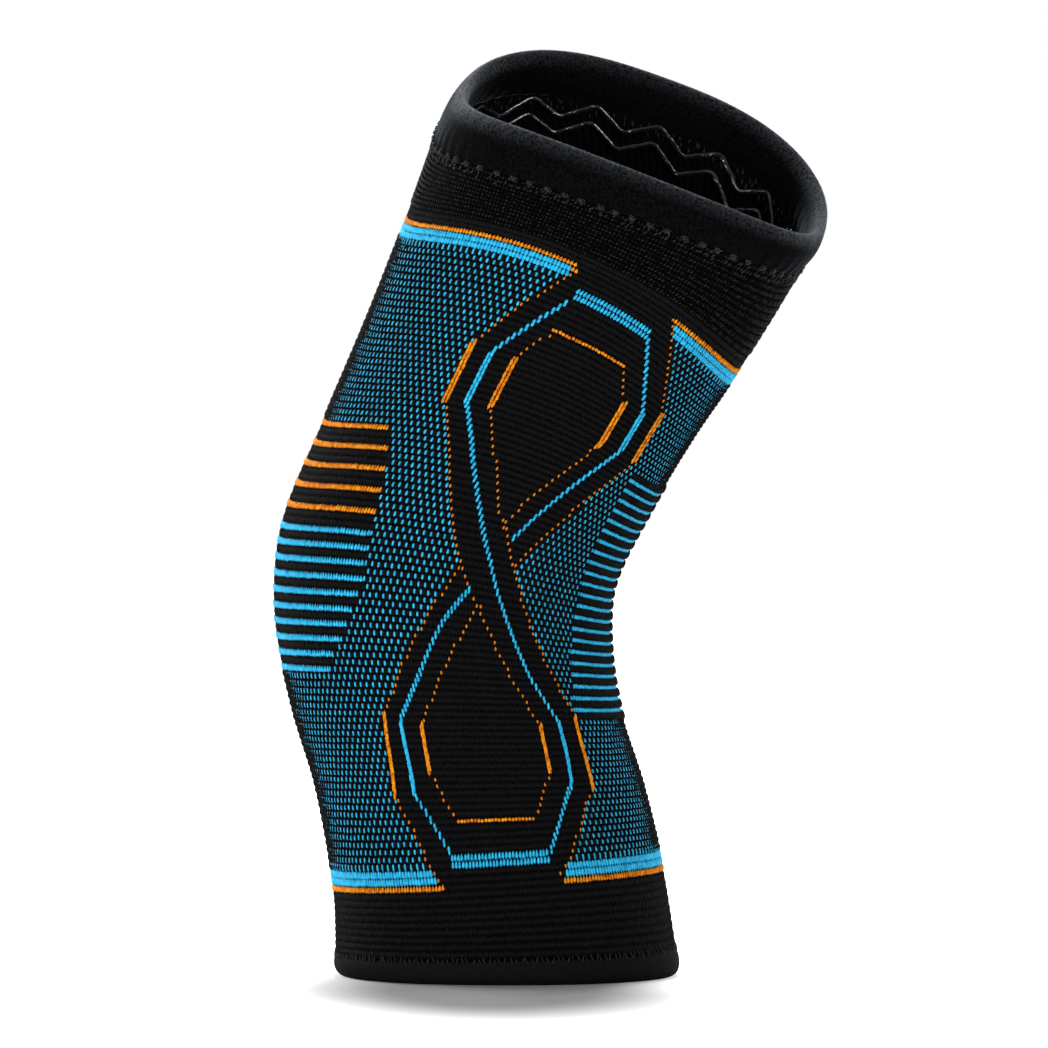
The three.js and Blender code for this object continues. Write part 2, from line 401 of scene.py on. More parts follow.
def follow(points, row):
    """Where a line of (wale, row) points stands at a row."""
    line = sorted((r, w) for w, r in points)
    return float(np.interp(row, [r for r, w in line], [w for r, w in line]))


def set_stitch(wale, row, kind):
    """Sets one stitch of the chart."""
    chart[row - chart_first_row, round(wale) + half_wales] = kinds.index(kind)


# The lines below are (wale, row) points. The outline is the edge of the black figure, and the stripe ends
# are where the stripes beside it stop
outline_front = [(-15, 0), (-17.3, 1), (-25.8, 12.5), (-21.5, 25), (-19.8, 26), (5, 46.5), (-17, 68),
                 (-18.5, 69), (-18.5, 79.5), (-17, 80.5), (-3, 93), (-1.7, 95)]
outline_back = [(18.6, 0), (21, 2), (22.8, 3), (33, 11.5), (36, 13), (37.6, 25), (36.7, 26), (19.8, 47),
                (39.3, 68.5), (41.4, 71), (41.4, 81), (40, 82), (27, 95)]
front_stripe_ends = [(-37, 31), (-31, 35), (-26, 39), (-23.3, 42), (-23, 51), (-26, 58), (-31, 64)]
back_stripe_ends = [(38, 26), (40, 33), (42, 41), (44.5, 47), (44.5, 53), (43.5, 60), (43.5, 68)]
front_stripe_rows = (31, 64)
front_blue_rows = range(31, 50, 2)
front_orange_rows = range(52, 65, 3)
back_blue_rows = range(26, 69, 2)

for row in range(chart_first_row, chart_last_row + 1):
    front_edge = round(follow(outline_front, row))
    back_edge = round(follow(outline_back, row))
    front_stripe_end = follow(front_stripe_ends, row)
    back_stripe_end = follow(back_stripe_ends, row)
    for wale in range(-half_wales, half_wales + 1):
        if row >= cuff_first_row:
            set_stitch(wale, row, "cuff" if row >= cuff_rough_row else "smooth")
        elif front_edge <= wale <= back_edge:
            continue
        elif row in band_rows["blue_low"] + band_rows["blue_high"]:
            set_stitch(wale, row, "blue")
        elif row in (band_rows["orange_low"], band_rows["orange_high"]):
            set_stitch(wale, row, "orange")
        elif front_stripe_rows[0] <= row <= front_stripe_rows[1] and wale < front_stripe_end:
            if row in front_blue_rows:
                set_stitch(wale, row, "stripe")
            if row in front_orange_rows:
                set_stitch(wale, row, "orange")
        elif ridge_first_row <= row <= ridge_last_row and wale > back_stripe_end:
            set_stitch(wale, row, "trough" if row in back_blue_rows else "ridge")
        elif dots_first_row <= row <= dots_last_row:
            dot = "long dot" if row in (dots_first_row, dots_last_row) else "dot"
            set_stitch(wale, row, dot if (wale + row) % 2 == 0 else "net")


def dot_line(points):
    """Sets one orange stitch a row along a slanting line."""
    for (wale_a, row_a), (wale_b, row_b) in zip(points, points[1:]):
        for row in range(math.ceil(min(row_a, row_b)), math.floor(max(row_a, row_b)) + 1):
            set_stitch(wale_a + (wale_b - wale_a) * (row - row_a) / (row_b - row_a), row, "orange dot")


laid_stitches = {"blue": [], "orange": []}
ribbon_slope = 0.5
thigh_first_row = 60
thigh_ribbon = {"apart": 0.48, "width": 0.95}
calf_ribbon = {"apart": 0.3, "width": 0.8}
ribbon_stagger = 0.25
ribbon_height = 1.5
slant_stagger = 0.26
slant_lean = 0.3
slant_height = 0.85


def lay_line(points, colour):
    """Lays two strokes of yarn side by side along (wale, row) points, on plain black ground."""
    for (wale_a, row_a), (wale_b, row_b) in zip(points, points[1:]):
        steps = max(1, round(max(abs(wale_b - wale_a), abs(row_b - row_a))))
        slope = (wale_b - wale_a) / (row_b - row_a)
        for step in range(steps):
            share = (step + 0.5) / steps
            wale = wale_a + (wale_b - wale_a) * share
            row = row_a + (row_b - row_a) * share
            for beside in (math.floor(wale), math.ceil(wale)):
                set_stitch(beside, round(row), "plain")
            ribbon = thigh_ribbon if row > thigh_first_row else calf_ribbon
            for side in (-1, 1):
                if abs(slope) < ribbon_slope:
                    stroke = (wale + side * ribbon["apart"], row + side * ribbon_stagger, slope,
                              ribbon["width"], ribbon_height)
                else:
                    stroke = (wale, row + side * slant_stagger, slant_lean, ribbon["width"], slant_height)
                laid_stitches[colour].append(stroke)


def draw_bar(row, wale_a, wale_b, kind):
    """Draws a bar of stitches along a row."""
    for wale in range(wale_a, wale_b + 1):
        set_stitch(wale, row, kind)


figure_lines = {
    "front upper": [(-2, 94), (-17, 80), (-18.5, 79), (-18.5, 69), (-16.5, 67.5), (10, 41)],
    "front lower": [(5, 46.5), (-19.8, 26), (-21.5, 25), (-25.8, 12.5), (-17.3, 1)],
    "back upper": [(27, 95), (40.5, 81.5), (41.4, 81), (41.4, 71), (39.3, 68.5), (19.8, 47.5)],
    "back lower": [(19.8, 47.5), (36.7, 26), (37.6, 25), (36, 13), (33, 11.5), (22.8, 3), (18.6, 1)],
    "upper loop back": [(22.8, 83), (26.6, 79.5), (28, 79), (28, 71.5), (27.4, 70), (12.7, 54), (19.8, 47)],
    "upper loop front": [(-0.4, 83), (-5, 79), (-5.7, 78), (-5.7, 69.5), (-4.2, 68), (12.7, 53)],
    "lower loop back": [(10.6, 41), (23.6, 24.5), (24.5, 23.5), (22.8, 16), (21, 14.5), (15.6, 10)],
    "lower loop front": [(10.6, 41), (-10, 24), (-11, 23.5), (-13, 16), (-9, 9.5)],
}
for line in figure_lines.values():
    for ends in zip(line, line[1:]):
        if abs(ends[1][0] - ends[0][0]) < ribbon_slope * abs(ends[1][1] - ends[0][1]):
            lay_line(ends, "orange")
        else:
            dot_line(ends)
draw_bar(84, 0, 22, "orange bar")
draw_bar(9, -8, 14, "orange bar")
for corner_wale in (-3, -2):
    set_stitch(corner_wale, 94, "orange")
blue_lines = {
    "front": [(0, 89), (-12.5, 78), (-12.5, 69.5), (-10.6, 68), (-3, 61), (5.5, 54), (12.2, 48), (17, 42),
              (21, 36.5), (24.5, 31), (31, 24), (30.4, 19), (28.7, 14), (25.8, 12), (17, 4)],
    "back": [(23.6, 90), (35, 79), (35, 71.5), (31.7, 68), (25, 61), (16.5, 51.5)],
    "lower front": [(-12, 4.5), (-19.4, 13), (-17, 24), (-8.4, 30.5), (0.4, 38.5), (8, 43.5)],
}
for line in blue_lines.values():
    lay_line(line, "blue")
for bar_row in (90, 91):
    draw_bar(bar_row, 1, 23, "bar")
for bar_row in (3, 4):
    draw_bar(bar_row, -12, 16, "bar")


def places_of(kind):
    """The chart points of all stitches of a kind, round the whole leg."""
    found = []
    for wale in range(wales):
        from_side = wale - 3 * half_wales if wale >= wales // 2 else half_wales - wale
        for row in np.nonzero(chart[:, from_side + half_wales] == kinds.index(kind))[0]:
            found.append((wale, row + chart_first_row, 0))
    return np.array(found, float)


# Stitches: each is one loop of yarn, a slim lozenge about a wale wide and a row tall. One is shaped, and its
# copies are set in the places that the chart gives and joined. Where the dots are, the black yarn stands
# higher and hides the blue from the side.
set_shape = bpy.data.node_groups.new("set_shape", "GeometryNodeTree")
set_shape.interface.new_socket("Geometry", in_out="INPUT", socket_type="NodeSocketGeometry")
shape_socket = set_shape.interface.new_socket("Shape", in_out="INPUT", socket_type="NodeSocketObject")
set_shape.interface.new_socket("Geometry", in_out="OUTPUT", socket_type="NodeSocketGeometry")
shape_in = add_node(set_shape, "NodeGroupInput")
shape_out = add_node(set_shape, "NodeGroupOutput")
one_shape = add_node(set_shape, "GeometryNodeObjectInfo")
set_copies = add_node(set_shape, "GeometryNodeInstanceOnPoints")
join_copies = add_node(set_shape, "GeometryNodeRealizeInstances")
for attribute_name, socket_name in (("turn", "Rotation"), ("size", "Scale")):
    attribute_node = add_node(set_shape, "GeometryNodeInputNamedAttribute", {"Name": attribute_name},
                              data_type="FLOAT_VECTOR")
    link_nodes(set_shape, (attribute_node, "Attribute", set_copies, socket_name))
link_nodes(
    set_shape,
    (shape_in, "Geometry", set_copies, "Points"),
    (shape_in, "Shape", one_shape, "Object"),
    (one_shape, "Geometry", set_copies, "Instance"),
    (set_copies, "Instances", join_copies, "Geometry"),
    (join_copies, "Geometry", shape_out, "Geometry"),
)


def copy_shape(name, shape, middles, along, up, sizes):
    """Joins copies of a shape, each with its own place and size, its y axis up and its x axis near along."""
    out = unit(np.cross(along, up))
    up = unit(up)
    across = np.cross(up, out)
    turns = [np.arctan2(up[:, 2], out[:, 2]), -np.arcsin(across[:, 2]),
             np.arctan2(across[:, 1], across[:, 0])]
    points = bpy.data.meshes.new(name)
    points.from_pydata(middles.tolist(), [], [])
    for attribute_name, values in (("turn", np.stack(turns, 1)), ("size", sizes)):
        attribute = points.attributes.new(attribute_name, "FLOAT_VECTOR", "POINT")
        attribute.data.foreach_set("vector", values.astype(np.float32).ravel())
    master = add_piece(name + "_shape", shape)
    piece = bpy.data.objects.new(name, points)
    bpy.context.scene.collection.objects.link(piece)
    copies = piece.modifiers.new("copies", "NODES")
    copies.node_group = set_shape
    copies[shape_socket.identifier] = master
    joined = bpy.data.meshes.new_from_object(piece.evaluated_get(bpy.context.evaluated_depsgraph_get()))
    piece.modifiers.clear()
    piece.data = joined
    for attribute_name in ("turn", "size"):
        joined.attributes.remove(joined.attributes[attribute_name])
    bpy.data.meshes.remove(points)
    bpy.data.objects.remove(master)
    return piece


def ways_on_leg(chart):
    """At chart points: the place, the way to the next wale and the way to the next row."""
    half_wale = np.array([0.5, 0, 0])
    half_row = np.array([0, 0.5, 0])
    wale_way = on_leg(chart + half_wale) - on_leg(chart - half_wale)
    row_way = on_leg(chart + half_row) - on_leg(chart - half_row)
    return on_leg(chart), wale_way, row_way


knitting_wobble = np.random.default_rng(7)
wobble_shares = np.array([0.05, 0.03, 0.00002])
few_faces = 8
more_faces = 20


def knit_stitches(name, places, lean, wide, tall, thick, lift=0.0, taper=1.0, faces=more_faces):
    """One stitch at each place: wide in wales, tall in rows, thick in metres, leaning lean wales a row."""
    loop = bmesh.new()
    if faces == few_faces:
        bmesh.ops.create_uvsphere(loop, u_segments=4, v_segments=2, radius=0.5)
    else:
        bmesh.ops.create_icosphere(loop, subdivisions=1, radius=0.5)
    bmesh.ops.rotate(loop, verts=loop.verts, cent=(0, 0, 0), matrix=Matrix.Rotation(math.radians(90), 3, "X"))
    upper = [vertex for vertex in loop.verts if vertex.co.y > 0]
    bmesh.ops.scale(loop, verts=upper, vec=(taper, 1, 1))
    moved = places + knitting_wobble.normal(size=places.shape) * wobble_shares
    moved[:, 2] += lift + ridge_lift(moved)
    middles, wale_way, row_way = ways_on_leg(moved)
    sizes = np.full(places.shape, thick)
    sizes[:, 0] = wide * np.linalg.norm(wale_way, axis=1)
    sizes[:, 1] = tall * np.linalg.norm(row_way, axis=1)
    return copy_shape(name, loop, middles, wale_way, row_way + wale_way * lean, sizes)


def knit_kind(name, kind, material, slot, lean=0.0, lean_at_front=0.0, **size):
    """Knits all stitches of one kind, in two pieces where they are many: below and above mid knee."""
    places = places_of(kind)
    parts = {name: places}
    if len(places) > most_in_a_piece:
        below = places[:, 1] < middle_row
        parts = {name + "_calf": places[below], name + "_thigh": places[~below]}
    for part_name, part_places in parts.items():
        leans = lean - lean_at_front * np.cos(2 * math.pi * part_places[:, :1] / wales)
        finish_piece(knit_stitches(part_name, part_places, leans, **size), material)


def knit_lines(name, colour, material, slot, wide, tall, **size):
    """Knits the stitches that are laid along the lines of one colour, on both sides of the leg."""
    wale, row, lean, width, height = np.array(laid_stitches[colour]).T
    wales_both = np.concatenate([wale + 3 * half_wales, half_wales - wale])
    places = np.stack([wales_both, np.tile(row, 2), np.zeros(2 * len(row))], 1)
    leans = np.concatenate([lean, -lean])[:, None]
    strokes = knit_stitches(name, places, leans, wide * np.tile(width, 2), tall * np.tile(height, 2), **size)
    finish_piece(strokes, material)


middle_row = 47
most_in_a_piece = 9500
knit_kind("plain_stitches", "plain", black_knit, "knit_black", wide=2.2, tall=1.0, thick=0.00038,
          lift=-0.0001, faces=few_faces)
knit_kind("net_stitches", "net", black_knit, "knit_black", wide=1.7, tall=1.55, thick=0.0010,
          faces=few_faces)
knit_kind("ridge_stitches", "ridge", black_knit, "knit_black", wide=1.35, tall=1.35, thick=0.0006)
knit_kind("smooth_stitches", "smooth", black_knit, "knit_black", wide=1.5, tall=1.1, thick=0.0004,
          lift=-0.0001)

blue_yarn = yarn_material("blue_yarn", (0.003, 0.27, 0.52), (0.025, 0.53, 0.84), 0.55, 0.05,
                          (0.6, 0.8, 1.0), shine=0.2, contrast=2.2)
knit_kind("dot_stitches", "dot", blue_yarn, "knit_blue", lean_at_front=0.32, wide=0.85, tall=0.88,
          thick=0.0004, lift=-0.00002)
knit_kind("long_dot_stitches", "long dot", blue_yarn, "knit_blue", wide=0.8, tall=1.25, thick=0.0005)
knit_kind("band_stitches_blue", "blue", blue_yarn, "knit_blue", wide=1.25, tall=1.3, thick=0.0006,
          taper=0.8)
knit_kind("bar_stitches", "bar", blue_yarn, "knit_blue", lean=0.35, wide=1.05, tall=1.15, thick=0.0006,
          taper=0.7)
knit_kind("stripe_stitches", "stripe", blue_yarn, "knit_blue", wide=1.35, tall=0.95, thick=0.0006,
          taper=0.5)
knit_kind("trough_stitches", "trough", blue_yarn, "knit_blue", wide=1.3, tall=0.9, thick=0.0006,
          lift=0.0001)
knit_lines("line_stitches_blue", "blue", blue_yarn, "knit_blue", wide=1.0, tall=1.0, thick=0.0007,
           lift=0.0001)

warm_sheen = (1.0, 0.8, 0.6)
orange_yarn = yarn_material("orange_yarn", (0.40, 0.085, 0.0005), (0.95, 0.33, 0.003), 0.6, 0.05,
                            warm_sheen, contrast=2.2)
knit_kind("band_stitches_orange", "orange", orange_yarn, "knit_orange", lean=0.2, wide=1.2, tall=0.95,
          thick=0.0006, taper=0.6)
knit_kind("bar_stitches_orange", "orange bar", orange_yarn, "knit_orange", lean=0.6, wide=1.1, tall=0.6,
          thick=0.0005)
# The dotted orange lines use a darker copy of the orange yarn, a painted shade for their small, recessed
# stitches
painted_shade_orange = yarn_material("dim_orange_yarn", (0.34, 0.085, 0.002), (0.75, 0.23, 0.006), 0.6, 0.05,
                           warm_sheen)
knit_kind("dot_stitches_orange", "orange dot", painted_shade_orange, "knit_orange", lean=0.2, wide=0.72, tall=0.66,
          thick=0.0004)
knit_lines("line_stitches_orange", "orange", orange_yarn, "knit_orange", wide=1.0, tall=1.0, thick=0.0007,
           lift=0.00018)

# The cuff's ground is the black knit painted darker, a painted shade laid over the whole cuff
cuff_ground_painted_dark = yarn_material("cuff_ground_painted_dark", (0.0002, 0.0002, 0.0003), (0.0012, 0.0012, 0.0015), 0.8, 0.01,
                            cool_sheen, shine=0.03)
knit_kind("cuff_ground_stitches", "cuff", cuff_ground_painted_dark, "knit_black", wide=2.0, tall=1.6, thick=0.0006,
          lift=-0.00005, faces=few_faces)
cuff_yarn = yarn_material("cuff_yarn", (0.0001, 0.0001, 0.0002), (0.016, 0.016, 0.018), 0.4, 0.01,
                          cool_sheen, shine=0.06, stitch_scale=800, contrast=8)
knit_kind("cuff_stitches", "cuff", cuff_yarn, "knit_black", lean=0.9, wide=0.5, tall=0.8, thick=0.0007,
          lift=0.0001)

# Top hem: a band of brushed fleece, folded over the rim and sewn down with a thread that puckers it. Its
# short pile is soft and has a little sheen of its own, and its colour holds a painted sheen and painted rim
# light.
hem_steps_round = 608
seam_tufts = 68
pucker_depth = 0.0003
pucker_reach = 0.6
hem_swing = 0.0022
hem_outer_side = -0.0015
top_hem_outline = [
    (-0.04, -0.9), (-0.04, -0.05), (0.04, 0.3), (0.15, 0.62), (0.27, 0.8), (0.4, 0.85), (0.52, 0.75),
    (0.63, 0.5), (0.73, 0.15), (0.82, -0.3), (0.9, -0.85), (0.96, -1.5), (1.0, -2.3), (0.99, -3.0),
    (0.95, -3.6), (0.88, -4.1), (0.78, -4.45), (0.65, -4.6), (0.5, -4.5), (0.35, -4.15), (0.2, -3.6),
    (0.1, -3.0), (0.03, -2.4), (-0.03, -2.1),
]


def hem_section(outline, low_row, high_row):
    """An outline in shares of a hem's height and millimetres off the skin, as rows and lifts in metres."""
    return [(low_row + (high_row - low_row) * up, out / 1000) for up, out in outline]


top_hem_section = hem_section(top_hem_outline, top_hem_row, rim_row)
top_hem = close_band("brushed_top_hem", top_hem_section, hem_steps_round)


def hem_lift(chart):
    """How far chart points of the hem are drawn in between the tufts of its seam, and swung to the back."""
    wale, row, lift = chart.T
    turn = 2 * math.pi * wale / wales
    up = np.clip((row - top_hem_row) / (rim_row - top_hem_row), 0, 1)
    between_tufts = 0.5 - 0.5 * np.cos(seam_tufts * turn)
    drawn_in = pucker_depth * np.clip(1 - up / pucker_reach, 0, 1) * between_tufts
    return hem_swing * up * np.cos(turn) - drawn_in * np.sign(lift - hem_outer_side)


def raise_hem(chart):
    """Chart points of the hem, moved off the skin as hem_lift says."""
    return chart + np.outer(hem_lift(chart), (0, 0, 1))


move_points(top_hem, raise_hem)
wrap(top_hem)
face_outwards(top_hem)

# The fleece's colour holds painted light: paler in patches towards the rim as painted rim light, and palest
# where it is seen edge on as a painted sheen
painted_light_start = 0.6
fleece_sheen = (0.75, 0.85, 0.95)
fleece = yarn_material("brushed_fleece", (0.0002, 0.0002, 0.0003), (0.004, 0.0042, 0.0048), 0.95, 0.15,
                       fleece_sheen, shine=0.02, stitch_scale=1300, contrast=2.2, fibre_scale=3500,
                       fibre_depth=0.7)
fleece_tree = fleece.node_tree
fleece_shader = fleece_tree.nodes["Principled BSDF"]
fleece_yarn = fleece_shader.inputs["Base Color"].links[0].from_node
painted_light_from = (top_hem_row + (rim_row - top_hem_row) * painted_light_start) / rim_row
painted_light_chart = add_node(fleece_tree, "ShaderNodeUVMap", uv_map="chart")
painted_light_split = add_node(fleece_tree, "ShaderNodeSeparateXYZ")
painted_rim_light = add_node(fleece_tree, "ShaderNodeMapRange", {"From Min": painted_light_from, "From Max": 1.0},
                      interpolation_type="SMOOTHSTEP")
painted_rim_light_patches = add_node(fleece_tree, "ShaderNodeMath", operation="MULTIPLY")
# Painted rim light: the fleece's colour turns paler in patches towards the rim
painted_rim_light_colour = add_node(fleece_tree, "ShaderNodeMix", {"B": (0.018, 0.0194, 0.022, 1)}, data_type="RGBA")
painted_sheen_facing = add_node(fleece_tree, "ShaderNodeLayerWeight", {"Blend": 0.35})
painted_sheen_mask = add_node(fleece_tree, "ShaderNodeMath", operation="MULTIPLY")
# Painted sheen: the colour turns pale grey where the fleece is seen edge on
painted_sheen_colour = add_node(fleece_tree, "ShaderNodeMix", {"B": (0.16, 0.175, 0.195, 1)}, data_type="RGBA")
link_nodes(
    fleece_tree,
    (painted_light_chart, "UV", painted_light_split, "Vector"),
    (painted_light_split, "Y", painted_rim_light, "Value"),
    (painted_rim_light, "Result", painted_rim_light_patches, 0),
    (fleece_yarn, "Tone", painted_rim_light_patches, 1),
    (painted_rim_light_patches, "Value", painted_rim_light_colour, "Factor"),
    (fleece_yarn, "Colour", painted_rim_light_colour, "A"),
    (painted_rim_light_patches, "Value", painted_sheen_mask, 0),
    (painted_sheen_facing, "Facing", painted_sheen_mask, 1),
    (painted_sheen_mask, "Value", painted_sheen_colour, "Factor"),
    (painted_rim_light_colour, "Result", painted_sheen_colour, "A"),
    (painted_sheen_colour, "Result", fleece_shader, "Base Color"),
)
finish_piece(top_hem, fleece)
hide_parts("top_hem")

pile_fibres = 20000
pile_length = 0.0004
pile_width = 0.00013
pile_sink = 0.0001
pile_spread = 0.6
pile_rim_light_focus = 4
shortest_fibre = 0.5
thinnest_pile = 0.6
thickest_pile = 1.2
pile_rng = np.random.default_rng(11)


def shape_fibre():
    """A fibre that tapers to its tip, one long and one wide, standing on its foot along y."""
    fibre = bmesh.new()
    bmesh.ops.create_cone(fibre, cap_ends=True, segments=3, radius1=0.5, radius2=0, depth=1)
    upright = Matrix.Rotation(math.radians(-90), 3, "X")
    bmesh.ops.rotate(fibre, verts=fibre.verts, cent=(0, 0, 0), matrix=upright)
    bmesh.ops.translate(fibre, verts=fibre.verts, vec=(0, 0.5, 0))
    bmesh.ops.remove_doubles(fibre, verts=fibre.verts, dist=1e-5)
    return fibre


def fibre_copies(name, middles, outwards, ways, lengths, widths, spread):
    """Sets fibres at the given places, pointing about outwards, with a spread to all sides."""
    stray = pile_rng.normal(size=middles.shape) * spread
    sizes = np.stack([widths, lengths, widths], 1)
    return copy_shape(name, shape_fibre(), middles, ways, outwards + stray, sizes)


# The pile fibres are real, but they are paler than the fleece and gathered at the rim's crest, thinning away
# from it: a painted rim light
section_rows, section_lifts = np.array(top_hem_section).T
pile_steps = np.arange(len(section_rows))
pile_crest = len(top_hem_section) / 2
pile_at = pile_crest + (pile_rng.beta(pile_rim_light_focus, pile_rim_light_focus, pile_fibres) * 2 - 1) * (pile_crest - 1)
pile_wales = pile_rng.uniform(0, wales, pile_fibres)


def hem_place(wale, step):
    """The place on the top hem's face at a wale and a step of its outline."""
    row = np.interp(step, pile_steps, section_rows)
    spot = np.stack([wale, row, np.interp(step, pile_steps, section_lifts)], 1)
    return on_leg(raise_hem(spot))


next_wale = 0.5
next_step = 0.3
pile_middles = hem_place(pile_wales, pile_at)
pile_round = hem_place(pile_wales + next_wale, pile_at) - pile_middles
pile_up = hem_place(pile_wales, pile_at + next_step) - pile_middles
pile_out = unit(np.cross(pile_round, pile_up))
pile_lengths = pile_length * pile_rng.uniform(shortest_fibre, 1.0, pile_fibres)
pile_widths = pile_width * pile_rng.uniform(thinnest_pile, thickest_pile, pile_fibres)
pile_feet = pile_middles - pile_out * pile_sink
pile = fibre_copies("top_hem_pile", pile_feet, pile_out, pile_round, pile_lengths, pile_widths, pile_spread)
pile_yarn = yarn_material("pile_yarn", (0.0005, 0.0005, 0.0006), (0.009, 0.0095, 0.0105), 0.9, 0.5,
                          fleece_sheen, shine=0.1, stitch_scale=900)
finish_piece(pile, pile_yarn)

# Top seam: a thread overlocks the band to the knit. Each of its loops ends in a small fluffy tuft, and
# slanting strands run down from it over the knit. The same strands show inside.
thread_sheen = (0.8, 0.85, 0.9)
seam_thread = yarn_material("seam_thread", (0.0008, 0.0008, 0.001), (0.014, 0.015, 0.017), 0.5, 0.05,
                            thread_sheen, shine=0.2, stitch_scale=900, contrast=3)
tuft_yarn = yarn_material("tuft_yarn", (0.005, 0.005, 0.006), (0.028, 0.030, 0.034), 0.9, 0.5,
                          thread_sheen, shine=0.1, stitch_scale=1200, contrast=2, fibre_scale=2500,
                          fibre_depth=1.0)
tuft_fibres = 90
tuft_size = 0.0008
tuft_fibre_width = 0.00016
tuft_lift = 0.0002
tuft_spread = 0.8
tuft_unevenness = 0.12
tuft_stray_wales = 0.45
tuft_stray_rows = 0.2
tuft_core_lean = 0.3
seam_drop = 0.15
seam_row = top_hem_row - seam_drop
tuft_shifts = pile_rng.uniform(-tuft_unevenness, tuft_unevenness, seam_tufts)
tuft_wales = (np.arange(seam_tufts) + tuft_shifts) * wales / seam_tufts
tuft_core_chart = np.stack([tuft_wales, np.full(seam_tufts, seam_row), np.full(seam_tufts, tuft_lift)], 1)
tuft_chart = np.repeat(tuft_core_chart, tuft_fibres, axis=0)
tuft_chart[:, 0] += pile_rng.normal(size=len(tuft_chart)) * tuft_stray_wales
tuft_chart[:, 1] += pile_rng.normal(size=len(tuft_chart)) * tuft_stray_rows
tuft_middles, tuft_ways, tuft_rows = ways_on_leg(tuft_chart)
tuft_out = unit(np.cross(tuft_ways, tuft_rows))
tuft_lengths = tuft_size * pile_rng.uniform(shortest_fibre, 1.0, len(tuft_chart))
tuft_widths = np.full(len(tuft_chart), tuft_fibre_width)
tufts = fibre_copies("top_seam_tufts", tuft_middles, tuft_out, tuft_ways, tuft_lengths, tuft_widths,
                     tuft_spread)
finish_piece(tufts, tuft_yarn)
tuft_cores = knit_stitches("top_seam_tuft_cores", tuft_core_chart, np.full((seam_tufts, 1), tuft_core_lean),
                           wide=1.7, tall=0.85, thick=0.0018)
finish_piece(tuft_cores, tuft_yarn)


def sew_strands(name, slot, wales_at, rows_at, lift, lean, **size):
    """Sews short strands at the given wales and rows, leaning lean wales a row."""
    spots = np.stack([wales_at, rows_at, np.full(len(wales_at), lift)], 1)
    finish_piece(knit_stitches(name, spots, lean[:, None], **size), seam_thread)


strand_offsets = np.array([(-1.0, -0.6), (0.6, -0.7), (-1.7, -1.2), (0.2, -1.5)])
strand_count = len(strand_offsets) * seam_tufts
strand_stray_wales = 0.35
strand_stray_rows = 0.2
strand_stray_lean = 0.25
strand_slant = 0.8
strand_lift = 0.00045
inner_drop = 0.2
strand_wales = (tuft_wales[:, None] + strand_offsets[:, 0]).ravel()
strand_wales += pile_rng.normal(size=strand_count) * strand_stray_wales
strand_rows = np.tile(seam_row + strand_offsets[:, 1], seam_tufts)
strand_rows += pile_rng.normal(size=strand_count) * strand_stray_rows
strand_lean = strand_slant + pile_rng.normal(size=strand_count) * strand_stray_lean
sew_strands("top_seam_strands", "brushed_hem", strand_wales, strand_rows, strand_lift, strand_lean,
            wide=0.5, tall=0.85, thick=0.0004)
sew_strands("inner_seam_strands", "brushed_hem", strand_wales, strand_rows - inner_drop, -wall - tuft_lift,
            strand_lean, wide=0.6, tall=0.9, thick=0.0005)

# Bottom hem: the same knit turned up inside, so that it rolls in under the edge, and sewn down with a fine
# thread. Two of each three of its stitches slant one way and the third the other. The sleeve stands on it.
bottom_hem_outline = [
    (0.0, -2.6), (0.03, -1.9), (0.09, -1.15), (0.18, -0.5), (0.3, 0.0), (0.45, 0.35), (0.62, 0.5),
    (0.8, 0.45), (0.93, 0.25), (1.0, -0.1), (1.0, -1.9), (0.8, -2.4), (0.5, -3.0), (0.25, -3.6),
    (0.1, -3.9), (0.02, -3.7), (0.0, -3.2),
]
bottom_hem_section = hem_section(bottom_hem_outline, floor_row, bottom_hem_row)
bottom_hem = close_band("bottom_hem_fold", bottom_hem_section, wales)
wrap(bottom_hem)
face_outwards(bottom_hem)
finish_piece(bottom_hem, black_knit)
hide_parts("bottom_hem")
bottom_strand_count = 3 * seam_tufts
bottom_seam_row = bottom_hem_row + 0.1
bottom_slant = 0.7
bottom_strand_lift = 0.0002
bottom_stray_wales = 0.25
bottom_stray_rows = 0.08
bottom_strands = np.arange(bottom_strand_count)
bottom_strand_wales = bottom_strands * wales / bottom_strand_count
bottom_strand_wales += pile_rng.normal(size=bottom_strand_count) * bottom_stray_wales
bottom_strand_rows = bottom_seam_row + pile_rng.normal(size=bottom_strand_count) * bottom_stray_rows
bottom_strand_lean = np.where(bottom_strands % 3 == 0, bottom_slant, -bottom_slant)
sew_strands("bottom_seam_strands", "knit_black", bottom_strand_wales, bottom_strand_rows,
            bottom_strand_lift, bottom_strand_lean, wide=0.4, tall=1.1, thick=0.0004)

# Grip lines: two beads of silicone, cast on the inside of the cuff in waves, that hold it to the thigh.
# They are glossy and dimpled, and dark from the knit behind them.
wave_count = 18
wave_swing = 0.0044
wave_sharpness = 0.1
wave_spacing = 0.0052
bead_width = 0.0016
bead_thickness = 0.001
bead_clearance = 0.00045
wave_steps = 24
bead_sides = 10


def lay_bead(name, path, width, thickness, sides):
    """A closed bead round the leg along chart points."""
    middle = on_leg(path)
    along = unit(np.roll(middle, -1, 0) - np.roll(middle, 1, 0))
    outwards = on_leg(path + np.array([0, 0, 0.001])) - middle
    across = unit(np.cross(along, outwards))
    facing = np.cross(across, along)
    bead = bmesh.new()
    steps = len(path)
    bmesh.ops.create_grid(bead, x_segments=steps, y_segments=sides, size=0.5)
    for vertex in bead.verts:
        step = round((vertex.co.x + 0.5) * steps) % steps
        angle = 2 * math.pi * (round((vertex.co.y + 0.5) * sides) % sides) / sides
        side_part = across[step] * width / 2 * math.cos(angle)
        vertex.co = middle[step] + side_part + facing[step] * thickness / 2 * math.sin(angle)
    bmesh.ops.remove_doubles(bead, verts=bead.verts, dist=1e-6)
    bmesh.ops.recalc_face_normals(bead, faces=bead.faces)
    return add_piece(name, bead)


